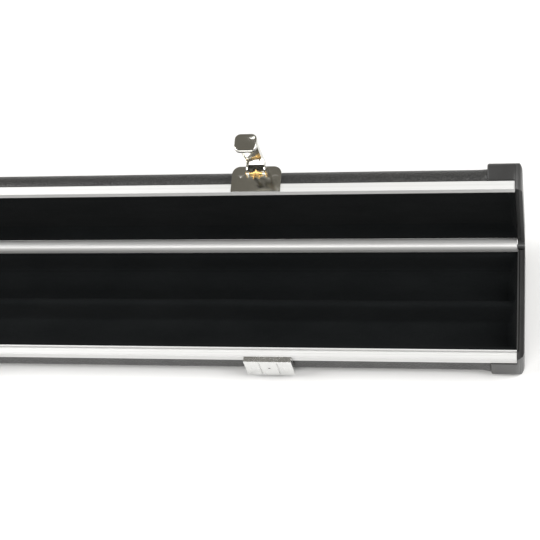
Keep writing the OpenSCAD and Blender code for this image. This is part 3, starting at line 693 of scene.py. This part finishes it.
# About the hinge axis, in millimetres and degrees. The barrel's metal runs from one lip to the other.
BARREL_R = 6.1
BORE_R = 3.45
BARREL_LIPS = (35, 268)
NECK_R = 7.95
NECK_HALF = 1.6
NECK_DIR = 110
WEB_Z = 6.6


def hinge_barrel():
    """The lid's hinge rail: the CAD channel with its rivet holes, and a finely drawn open barrel and neck."""
    node = "lid_hinge_rail"
    place = PLACE["lid"]
    points = [place.inverted() @ v.co for v in nodes[node].data.vertices]
    end = max(p.x for p in points if math.hypot(p.y, p.z) < BARREL_R * 1.02 * MM) / MM
    bm = welded(node)
    cut_away(bm, place @ Vector((0, 0, (WEB_Z + 0.05) * MM)), place.to_3x3() @ Vector((0, 0, -1)))

    neck_a = math.degrees(math.asin(NECK_HALF / BARREL_R))
    out = Vector((math.cos(math.radians(NECK_DIR)), math.sin(math.radians(NECK_DIR))))
    aside = Vector((out.y, -out.x)) * NECK_HALF
    neck = [tuple(out * NECK_R + aside), tuple(out * NECK_R - aside)]
    outline = arc(0, 0, BARREL_R, BARREL_LIPS[0], NECK_DIR - neck_a, 30) + neck
    outline += arc(0, 0, BARREL_R, NECK_DIR + neck_a, BARREL_LIPS[1], 72)
    outline += arc(0, 0, BORE_R, BARREL_LIPS[1], BARREL_LIPS[0], 60)
    swept, rings = sweep("lid", outline, (-end, end))
    cap_ends(swept, rings)
    bmesh.ops.recalc_face_normals(swept, faces=swept.faces)
    barrel = bpy.data.meshes.new("barrel")
    swept.to_mesh(barrel)
    swept.free()
    bm.from_mesh(barrel)
    bpy.data.meshes.remove(barrel)
    obj = mesh_object(node + "_finished", bm, 30)
    break_edges(obj, 0.15, 40, 2)
    stand_for(obj, node)


# ---------------------------------------------------------------- rails, caps and metalwork

for node in ("base_front_rail", "lid_front_rail"):
    rounded(node, 0.22)
rounded("base_hinge_rail", 0.15, 2)
hinge_barrel()
for half in ("base", "lid"):
    for side in ("left", "right"):
        soft_cap(half, side, mouth_r=7.0, edge_mm=1.8)
for side in ("left", "right"):
    rounded(f"keeper_{side}", 0.35)
    rounded(f"latch_plate_{side}", 0.25)
    latch_lever(side)
    latch_spring(side)
    rounded(f"handle_end_{side}", 0.8, 4)
    rounded(f"handle_bracket_{side}", 0.25)
rounded("handle_grip", 1.0, 4)

# The CAD nodes that no piece stands for are shown as they are, in the same materials.
for name, obj in nodes.items():
    if not obj.data.materials:
        obj.data.materials.append(None)
    for i in range(len(obj.data.materials)):
        obj.data.materials[i] = MATERIALS[slot_of[name]]


# ---------------------------------------------------------------- floor, light and camera

FLOOR_REACH = 9
FLOOR_Z = -0.0003
floor_mesh = bpy.data.meshes.new("floor")
floor_corners = [(x * FLOOR_REACH, y * FLOOR_REACH, FLOOR_Z) for x, y in ((-1, -1), (1, -1), (1, 1), (-1, 1))]
floor_mesh.from_pydata(floor_corners, [], [(0, 1, 2, 3)])
floor = bpy.data.objects.new("floor", floor_mesh)
bpy.context.scene.collection.objects.link(floor)
floor_mesh.materials.append(floor_paint())


def soft_light(name, place, target, width, depth, watts):
    """A rectangular lamp that faces its target."""
    data = bpy.data.lights.new(name, "AREA")
    data.shape = "RECTANGLE"
    data.size, data.size_y = width, depth
    data.energy = watts
    lamp = bpy.data.objects.new(name, data)
    bpy.context.scene.collection.objects.link(lamp)
    lamp.location = place
    lamp.rotation_euler = (Vector(target) - Vector(place)).to_track_quat("-Z", "Y").to_euler()


soft_light("side_left", (-2.3, 0.1, 2.2), (-0.1, 0.1, 0), 2.0, 3.4, 122)
soft_light("side_right", (2.6, 0.1, 2.2), (0.4, 0.1, 0), 2.0, 3.4, 122)
soft_light("front", (-0.2, -2.6, 2.0), (0.2, 0, 0.05), 2.6, 1.1, 68)
soft_light("back", (0.3, 3.2, 1.3), (0.3, 0.3, 0), 4.0, 1.4, 10)

world = bpy.data.worlds.new("world")
bpy.context.scene.world = world
world.use_nodes = True
background = world.node_tree.nodes["Background"]
background.inputs["Color"].default_value = (0.2, 0.19, 0.165, 1)
background.inputs["Strength"].default_value = 1.0

scene = bpy.context.scene
scene.view_settings.view_transform = "Standard"

# The camera stands beyond the case's right end, about 60 degrees above its rim, and is turned to the left.
camera_data = bpy.data.cameras.new("camera")
camera = bpy.data.objects.new("camera", camera_data)
scene.collection.objects.link(camera)
scene.camera = camera
elevation, turn, roll = math.radians(59.96), math.radians(11.24), math.radians(-0.17)
level = Vector((0, math.cos(elevation), -math.sin(elevation)))
up = Vector((0, math.sin(elevation), math.cos(elevation)))
ahead = math.cos(turn) * level - math.sin(turn) * Vector((1, 0, 0))
right = math.cos(turn) * Vector((1, 0, 0)) + math.sin(turn) * level
right, up = math.cos(roll) * right + math.sin(roll) * up, math.cos(roll) * up - math.sin(roll) * right
case_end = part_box("base_cap_right")[1].x
camera_place = Vector((case_end + 0.0267, hinge.y - 0.7019, hinge.z + 1.1968))
facing = Matrix((right, up, -ahead)).transposed().to_4x4()
camera.matrix_world = Matrix.Translation(camera_place) @ facing
camera_data.sensor_width = 36
camera_data.lens = 91.54
camera_data.shift_x = -0.0176
camera_data.shift_y = -0.0306
camera_data.clip_start = 0.05
